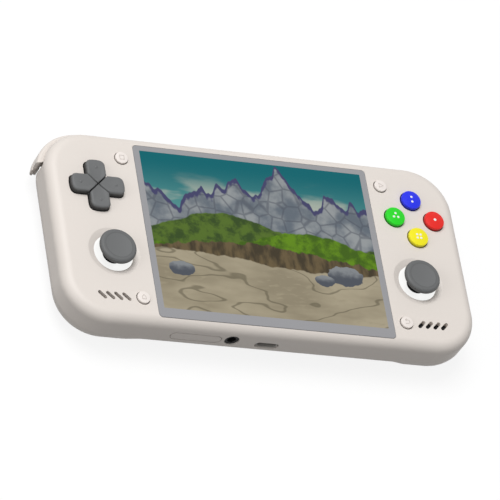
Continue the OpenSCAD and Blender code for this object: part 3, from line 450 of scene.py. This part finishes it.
KEY_GREY = (0.127, 0.131, 0.133)
FINISH = {
    "shell": plastic("warm_grey_shell", (0.775, 0.716, 0.665), gloss=0.50, grain=2.4, depth=0.012,
                     mottle=0.02, speckle=0.02),
    # Painted shade darkens the pale keys towards their feet
    "small_key": plastic("pale_key", (0.870, 0.805, 0.760), gloss=0.42, grain=3.0, depth=0.006,
                         shade=painted_foot_shade(FRONT_Z, SMALL_TOP_Z - 0.3, 0.6)),
    # Painted shade darkens the dark keys towards their feet
    "dark_key": plastic("dark_key", KEY_GREY, gloss=0.58, grain=3.2, depth=0.010, speckle=0.10,
                        shade=painted_foot_shade(PAD_TOP_Z - 1.4, PAD_TOP_Z - 0.1, 0.15)),
    # Painted light: the ring's white is an even glow over a dark base colour, so no shade from the cap
    # shows on it
    "white_plastic": plastic("glowing_white_ring", (0.13, 0.13, 0.128), gloss=0.38, grain=3.0,
                             depth=0.004, glow=0.84, glow_colour=(1.0, 1.0, 0.985)),
    "black_plastic": plastic("black_moulding", (0.010, 0.010, 0.011), gloss=0.55, speckle=0.2,
                             specular=0.2),
    "rubber": plastic("grey_rubber", (0.085, 0.09, 0.095), gloss=0.72, grain=4.0, speckle=0.15),
    "adhesive": plastic("black_tape", (0.012, 0.012, 0.013), gloss=0.62, speckle=0.2),
    "battery": plastic("foil_pouch", (0.085, 0.09, 0.10), gloss=0.34, grain=0.8, depth=0.05),
    "ribbon": plastic("amber_film", (0.52, 0.25, 0.06), gloss=0.30, grain=1.2),
    "panel": plastic("dark_panel", (0.03, 0.034, 0.038), gloss=0.2, grain=1.0, depth=0.004),
    "steel": drawn_metal("plain_steel", (0.56, 0.57, 0.58)),
    "copper": drawn_metal("bare_copper", (0.72, 0.36, 0.20)),
    "glass": screen_laminate(),
    "board": circuit_board(),
}
CAP_COLOURS = {"blue": (0.012, 0.026, 0.84), "green": (0.010, 0.69, 0.010),
               "red": (0.82, 0.014, 0.008), "yellow": (0.93, 0.84, 0.008)}
# Painted shade darkens each coloured button cap towards its foot
for name, colour in CAP_COLOURS.items():
    FINISH[name] = plastic(f"{name}_cap", colour, gloss=0.32, grain=3.0, depth=0.005, specular=0.35,
                           shade=painted_foot_shade(FRONT_Z, BUTTON_TOP_Z - 0.5, 0.45))
# The stick caps carry painted shade: a dark line around the dish, a darker rim and a darker foot
STICK_CAP = plastic("stick_cap", KEY_GREY, gloss=0.58, grain=3.2, depth=0.010, speckle=0.10,
                    shade=painted_cap_shade(0.20, 0.14, 0.13))
PORT_TIN = drawn_metal("port_tin", (0.52, 0.495, 0.47), gloss=0.6, metallic=0.25)
MARK_WHITE = plastic("white_mark", (0.90, 0.90, 0.89), gloss=0.4, grain=4.0, depth=0.002)
MARK_GREY = plastic("grey_mark", (0.60, 0.545, 0.505), gloss=0.5, grain=4.0, depth=0.002)

OWN_FINISH = {"left_stick_cap": STICK_CAP, "right_stick_cap": STICK_CAP, "usb_port": PORT_TIN}
for row in frame["record"]["subparts"]:
    solid = frame["nodes"][row["node"]]
    solid.data.materials.clear()
    solid.data.materials.append(OWN_FINISH.get(row["node"], FINISH[row["material_slot"]]))


# Mesh building

SMOOTH_DEG = 35


def smooth(mesh, smooth_deg=SMOOTH_DEG):
    mesh.shade_smooth()
    mesh.set_sharp_from_angle(angle=math.radians(smooth_deg))


def finish_mesh(name, mesh, material, smooth_deg=SMOOTH_DEG):
    mesh.materials.clear()
    mesh.materials.append(material)
    smooth(mesh, smooth_deg)
    piece = bpy.data.objects.new(name, mesh)
    scene.collection.objects.link(piece)
    return piece


def mesh_from(bm, name):
    bmesh.ops.recalc_face_normals(bm, faces=bm.faces)
    mesh = bpy.data.meshes.new(name)
    bm.to_mesh(mesh)
    bm.free()
    return mesh


def settle(piece):
    """Applies a piece's modifiers and leaves a plain mesh."""
    evaluated = piece.evaluated_get(bpy.context.evaluated_depsgraph_get())
    mesh = bpy.data.meshes.new_from_object(evaluated)
    piece.modifiers.clear()
    piece.data = mesh
    return piece


def inset_loop(points, inset):
    """A closed outline moved inwards along its own normals."""
    moved = []
    for i, here in enumerate(points):
        along = (points[(i + 1) % len(points)] - points[i - 1]).normalized()
        moved.append(here - inset * Vector((along.y, -along.x)))
    return moved


def stacked_loops(bm, loops):
    """Closed loops of equal length joined into a wall and capped at both ends."""
    rings = [[bm.verts.new((x * MM, y * MM, z * MM)) for x, y, z in loop] for loop in loops]
    for low, high in zip(rings, rings[1:]):
        for i in range(len(low)):
            j = (i + 1) % len(low)
            bm.faces.new((low[i], low[j], high[j], high[i]))
    bm.faces.new(list(reversed(rings[0])))
    bm.faces.new(rings[-1])


# Direction pad: rounded arms, rolled edges, a dished top and a cross of grooves

def pad_outline():
    """The pad's edge: four arms with rounded tips, and rounded corners between them."""
    half, reach, tip, inner = 4.0, 11.05, 2.4, 0.7
    mid_x = math.sqrt((reach - tip) ** 2 - (half - tip) ** 2)
    lean = math.degrees(math.atan2(half - tip, mid_x))
    arm = []
    for i in range(6):
        a = math.radians(180 - 18 * i)
        arm.append(Vector((half + inner + inner * math.cos(a), -half - inner + inner * math.sin(a))))
    for start, end, middle, r, count in (
            (-90, -lean, (mid_x, -half + tip), tip, 8), (-lean, lean, (0, 0), reach, 9),
            (lean, 90, (mid_x, half - tip), tip, 8)):
        for i in range(count):
            a = math.radians(start + (end - start) * i / count)
            arm.append(Vector((middle[0] + r * math.cos(a), middle[1] + r * math.sin(a))))
    arm.append(Vector((mid_x, half)))
    loop = []
    for turn in range(4):
        spin = Matrix.Rotation(math.radians(90 * turn), 2)
        loop += [spin @ p for p in arm]
    return loop


def groove_cutter(reach=6.2, half=0.40, floor_half=0.22, depth=1.7, over=0.5):
    """Two crossed bars, wider at the top, that cut the grooves between the arms."""
    corners = [(-half, PAD_TOP_Z + over), (-floor_half, PAD_TOP_Z - depth),
               (floor_half, PAD_TOP_Z - depth), (half, PAD_TOP_Z + over)]
    bm = bmesh.new()
    for turn in (45, 135):
        spin = Matrix.Rotation(math.radians(turn), 3, "Z")
        ends = []
        for s in (-reach, reach):
            ring = [spin @ Vector((s, across, z)) + Vector((*PAD_MID, 0.0)) for across, z in corners]
            ends.append([bm.verts.new(p * MM) for p in ring])
        for i in range(len(corners)):
            j = (i + 1) % len(corners)
            bm.faces.new((ends[0][i], ends[0][j], ends[1][j], ends[1][i]))
        bm.faces.new(ends[0])
        bm.faces.new(list(reversed(ends[1])))
    return finish_mesh("pad_groove_cutter", mesh_from(bm, "pad_groove_cutter"), FINISH["dark_key"])


def direction_pad(roll=0.9, dish=0.35, steps=6):
    outline = pad_outline()
    low, high = PAD_LOW_Z, PAD_TOP_Z
    loops = [[(p.x, p.y, low) for p in outline]]
    for i in range(steps + 1):
        a = math.radians(90 * i / steps)
        shape = inset_loop(outline, roll * (1 - math.cos(a)))
        loops.append([(p.x, p.y, high - roll + roll * math.sin(a)) for p in shape])
    top = inset_loop(outline, roll)
    for share in (0.8, 0.6, 0.4, 0.2, 0.06):
        loops.append([(p.x * share, p.y * share, high - dish * (1 - share ** 2)) for p in top])
    bm = bmesh.new()
    stacked_loops(bm, [[(x + PAD_MID[0], y + PAD_MID[1], z) for x, y, z in loop] for loop in loops])
    pad = finish_mesh("pad_body", mesh_from(bm, "pad_body"), FINISH["dark_key"], smooth_deg=40)
    tool = groove_cutter()
    cut = pad.modifiers.new("grooves", "BOOLEAN")
    cut.operation = "DIFFERENCE"
    cut.solver = "EXACT"
    cut.use_self = True
    cut.object = tool
    settle(pad)
    bpy.data.objects.remove(tool)
    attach(pad, "direction_pad")
    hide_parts("direction_pad")


direction_pad()


# Dots and screws, which repeat

def geometry_tree(name, inputs):
    tree = bpy.data.node_groups.new(name, "GeometryNodeTree")
    tree.interface.new_socket("Geometry", in_out="INPUT", socket_type="NodeSocketGeometry")
    for label, kind in inputs:
        tree.interface.new_socket(label, in_out="INPUT", socket_type=kind)
    tree.interface.new_socket("Geometry", in_out="OUTPUT", socket_type="NodeSocketGeometry")
    return tree, tree.nodes.new("NodeGroupInput").outputs, tree.nodes.new("NodeGroupOutput").inputs


def close_tree(tree, instances, material, out):
    real = node(tree, "GeometryNodeRealizeInstances", {0: instances}).outputs[0]
    painted = node(tree, "GeometryNodeSetMaterial", {"Geometry": real, "Material": material})
    tree.links.new(painted.outputs[0], out[0])


def run_tree(name, tree, values, points=()):
    """Runs a tree on an object that holds the given points, and leaves a plain mesh."""
    mesh = bpy.data.meshes.new(name)
    mesh.from_pydata([tuple(c * MM for c in p) for p in points], [], [])
    piece = bpy.data.objects.new(name, mesh)
    scene.collection.objects.link(piece)
    made = piece.modifiers.new(name, "NODES")
    made.node_group = tree
    sockets = {s.name: s.identifier for s in tree.interface.items_tree if s.in_out == "INPUT"}
    for label, value in values.items():
        made[sockets[label]] = value
    settle(piece)
    smooth(piece.data)
    return piece


def dot_ring_tree():
    """Low round dots, evenly spaced on a ring."""
    tree, given, out = geometry_tree("dot_ring", [
        ("Count", "NodeSocketInt"), ("Ring radius", "NodeSocketFloat"), ("Turn", "NodeSocketFloat"),
        ("Dot radius", "NodeSocketFloat"), ("Dot height", "NodeSocketFloat"),
        ("Middle", "NodeSocketVector"), ("Finish", "NodeSocketMaterial")])
    index = tree.nodes.new("GeometryNodeInputIndex").outputs[0]
    share = calc(tree, "DIVIDE", index, given["Count"])
    angle = calc(tree, "MULTIPLY_ADD", share, 2 * math.pi, given["Turn"])
    x = calc(tree, "MULTIPLY", calc(tree, "COSINE", angle), given["Ring radius"])
    y = calc(tree, "MULTIPLY", calc(tree, "SINE", angle), given["Ring radius"])
    offset = node(tree, "ShaderNodeCombineXYZ", {0: x, 1: y})
    place = node(tree, "ShaderNodeVectorMath", {0: offset.outputs[0], 1: given["Middle"]},
                 operation="ADD").outputs[0]
    points = node(tree, "GeometryNodePoints", {"Count": given["Count"], "Position": place})
    dome = node(tree, "GeometryNodeMeshUVSphere", {"Segments": 24, "Rings": 12, "Radius": 1.0})
    size = node(tree, "ShaderNodeCombineXYZ", {0: given["Dot radius"], 1: given["Dot radius"],
                                               2: given["Dot height"]}).outputs[0]
    placed = node(tree, "GeometryNodeInstanceOnPoints", {"Points": points.outputs[0],
                                                         "Instance": dome.outputs["Mesh"],
                                                         "Scale": size})
    close_tree(tree, placed.outputs[0], given["Finish"], out)
    return tree


def case_screw_tree():
    """Pan-head screws with a cross recess, heads down, one on each point."""
    tree, given, out = geometry_tree("case_screw", [
        ("Head radius", "NodeSocketFloat"), ("Head height", "NodeSocketFloat"),
        ("Shank radius", "NodeSocketFloat"), ("Shank length", "NodeSocketFloat"),
        ("Recess width", "NodeSocketFloat"), ("Finish", "NodeSocketMaterial")])

    def rod(radius, low_radius, depth, z, sides):
        made = node(tree, "GeometryNodeMeshCone", {"Vertices": sides, "Radius Top": radius,
                                                   "Radius Bottom": low_radius, "Depth": depth})
        lift = node(tree, "ShaderNodeCombineXYZ", {2: z}).outputs[0]
        return node(tree, "GeometryNodeTransform", {"Geometry": made.outputs[0],
                                                    "Translation": lift}).outputs[0]

    down = calc(tree, "MULTIPLY", given["Head height"], -1.0)
    rim = calc(tree, "MULTIPLY", given["Head radius"], 0.86)
    head = rod(given["Head radius"], rim, given["Head height"], down, 40)
    shank = rod(given["Shank radius"], given["Shank radius"], given["Shank length"],
                calc(tree, "MULTIPLY", given["Head height"], -0.2), 20)
    long = calc(tree, "MULTIPLY", given["Head radius"], 1.15)
    bars = []
    for size in ((long, given["Recess width"]), (given["Recess width"], long)):
        shape = node(tree, "ShaderNodeCombineXYZ", {0: size[0], 1: size[1],
                                                    2: given["Head height"]}).outputs[0]
        bar = node(tree, "GeometryNodeMeshCube", {"Size": shape}).outputs[0]
        lift = node(tree, "ShaderNodeCombineXYZ", {2: down}).outputs[0]
        bars.append(node(tree, "GeometryNodeTransform", {"Geometry": bar,
                                                         "Translation": lift}).outputs[0])
    cut = node(tree, "GeometryNodeMeshBoolean", operation="DIFFERENCE", solver="EXACT")
    tree.links.new(head, cut.inputs["Mesh 1"])
    for bar in bars:
        tree.links.new(bar, cut.inputs["Mesh 2"])
    whole = tree.nodes.new("GeometryNodeJoinGeometry")
    tree.links.new(shank, whole.inputs[0])
    tree.links.new(cut.outputs[0], whole.inputs[0])
    placed = node(tree, "GeometryNodeInstanceOnPoints", {"Points": given["Geometry"],
                                                         "Instance": whole.outputs[0]})
    close_tree(tree, placed.outputs[0], given["Finish"], out)
    return tree


DOT_RING = dot_ring_tree()


def dots(name, body, middle, count, ring, radius, height, material, turn=0.0):
    piece = run_tree(name, DOT_RING, {
        "Count": count, "Ring radius": ring * MM, "Turn": math.radians(turn),
        "Dot radius": radius * MM, "Dot height": height * MM,
        "Middle": tuple(c * MM for c in middle), "Finish": material})
    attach(piece, body)
    return piece


# Ring radius and dot radius by the number of dots
DOT_SIZES = {1: (0.0, 0.62), 2: (1.1, 0.52), 3: (1.1, 0.52), 4: (1.1, 0.52)}
DOT_HEIGHT, DOT_SUNK = 0.09, 0.03
PAD_DOT_REACH, PAD_DOT_R, PAD_DOT_HEIGHT, PAD_DOT_SUNK = 7.4, 0.6, 0.24, 0.16
SCREW_PLACES = ((82.3, 6.0), (79.3, -30.6), (44.5, 37.6))
SCREW_SEAT_Z = 4.2

for order, colour in enumerate(("red", "blue", "green", "yellow")):
    count = order + 1
    angle = math.radians(90 * order)
    middle = (BUTTON_MID[0] + BUTTON_PITCH * math.cos(angle),
              BUTTON_MID[1] + BUTTON_PITCH * math.sin(angle), BUTTON_TOP_Z - DOT_SUNK)
    dots(f"{colour}_button_dots", f"{colour}_button", middle, count, *DOT_SIZES[count], DOT_HEIGHT,
         MARK_WHITE, turn=45 if count == 4 else 90)
dots("pad_dots", "direction_pad", (*PAD_MID, PAD_TOP_Z - PAD_DOT_SUNK), 4, PAD_DOT_REACH,
             PAD_DOT_R, PAD_DOT_HEIGHT, FINISH["dark_key"])

screws = run_tree("case_screw_set", case_screw_tree(), {
    "Head radius": 1.8 * MM, "Head height": 1.2 * MM, "Shank radius": 0.9 * MM,
    "Shank length": 9 * MM, "Recess width": 0.5 * MM, "Finish": FINISH["steel"]},
    [(s * x, y, SCREW_SEAT_Z) for s in (-1, 1) for x, y in SCREW_PLACES])
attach(screws, "console")
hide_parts("case_screws")


# Fine raised signs on the small buttons

SIGN_W, SIGN_SUNK, SIGN_PROUD = 0.26, 0.12, 0.03
SHARPEST_MITRE = 0.35


def ribbon(bm, points, width, z0, z1, closed):
    """A flat band of even width along a path, with mitred corners."""
    count = len(points)
    left, right = [], []
    for i, here in enumerate(points):
        before = points[i - 1] if closed or i > 0 else None
        after = points[(i + 1) % count] if closed or i < count - 1 else None
        first = (here - before).normalized() if before is not None else (after - here).normalized()
        second = (after - here).normalized() if after is not None else first
        normal = Vector((-(first + second).y, (first + second).x)).normalized()
        stretch = 1 / max(SHARPEST_MITRE, normal.dot(Vector((-first.y, first.x))))
        left.append(here + normal * (width / 2 * stretch))
        right.append(here - normal * (width / 2 * stretch))
    rings = [[bm.verts.new((p.x * MM, p.y * MM, z * MM)) for p in side]
             for side, z in ((left, z0), (right, z0), (right, z1), (left, z1))]
    for i in range(count if closed else count - 1):
        j = (i + 1) % count
        for a, b in zip(rings, rings[1:] + rings[:1]):
            bm.faces.new((a[i], a[j], b[j], b[i]))
    if not closed:
        bm.faces.new([ring[0] for ring in rings])
        bm.faces.new([ring[-1] for ring in reversed(rings)])


def small_sign(name, body, x, y, paths):
    bm = bmesh.new()
    for points, closed in paths:
        ribbon(bm, [Vector((x + px, y + py)) for px, py in points], SIGN_W,
               SMALL_TOP_Z - SIGN_SUNK, SMALL_TOP_Z + SIGN_PROUD, closed)
    piece = finish_mesh(name, mesh_from(bm, name), MARK_GREY)
    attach(piece, body)


# Round end of the back arrow
arc = [(0.15 + 0.85 * math.cos(math.radians(a)), 0.05 + 0.85 * math.sin(math.radians(a)))
       for a in range(-90, 91, 15)]
SIGNS = {
    "select": (-SMALL_X, SMALL_UP_Y, [([(-0.9, -0.9), (0.9, -0.9), (0.9, 0.9), (-0.9, 0.9)], True)]),
    "start": (SMALL_X, SMALL_UP_Y, [([(-0.75, -0.95), (1.0, 0.0), (-0.75, 0.95)], True)]),
    "home": (-SMALL_X, SMALL_LOW_Y, [([(-0.75, -0.9), (0.75, -0.9), (0.75, 0.2), (0.0, 1.0),
                                       (-0.75, 0.2)], True)]),
    "back": (SMALL_X, SMALL_LOW_Y, [([(-0.9, -0.8)] + arc + [(-0.5, 0.9)], False),
                                    ([(-0.1, 1.45), (-0.75, 0.9), (-0.1, 0.35)], False)]),
}
for key, (x, y, paths) in SIGNS.items():
    small_sign(f"{key}_sign", f"{key}_button", x, y, paths)


# Floor, lights and background, in metres and watts

FLOOR_HALF, FLOOR_DROP = 6.0, 0.0002
FLOOR_GREY, FLOOR_GLOW = (0.16, 0.16, 0.16, 1), 0.86
ROOM_LIGHT = 0.30
LAMPS = (("key", (-0.5, 0.6, 1.8), 1.2, 28.0), ("left_fill", (-2.3, -0.4, 1.1), 1.4, 11.0),
         ("low_fill", (0.4, -2.4, 0.5), 1.4, 4.0))


def studio():
    bm = bmesh.new()
    bmesh.ops.create_grid(bm, x_segments=1, y_segments=1, size=FLOOR_HALF)
    bmesh.ops.translate(bm, verts=bm.verts, vec=(0, 0, -FLOOR_DROP))
    material, tree, shader = new_material("pale_floor")
    tree.nodes.remove(shader)
    matt = node(tree, "ShaderNodeBsdfDiffuse", {"Color": FLOOR_GREY})
    glow = node(tree, "ShaderNodeEmission", {
        "Color": (1, 1, 1, 1), "Strength": calc(tree, "MULTIPLY", seen(tree), FLOOR_GLOW)})
    both = node(tree, "ShaderNodeAddShader", {0: matt.outputs[0], 1: glow.outputs[0]})
    tree.links.new(both.outputs[0], tree.nodes["Material Output"].inputs["Surface"])
    floor = finish_mesh("floor", mesh_from(bm, "floor"), material)

    world = bpy.data.worlds.new("white_room")
    scene.world = world
    world.use_nodes = True
    tree = world.node_tree
    sky = tree.nodes["Background"]
    sky.inputs["Color"].default_value = (1, 1, 1, 1)
    tree.links.new(calc(tree, "MULTIPLY_ADD", seen(tree), 1 - ROOM_LIGHT, ROOM_LIGHT),
                   sky.inputs["Strength"])

    for name, place, size, power in LAMPS:
        data = bpy.data.lights.new(name, "AREA")
        data.size = size
        data.energy = power
        lamp = bpy.data.objects.new(name, data)
        lamp.location = place
        lamp.rotation_mode = "QUATERNION"
        lamp.rotation_quaternion = Vector(place).to_track_quat("Z", "Y")
        scene.collection.objects.link(lamp)


studio()
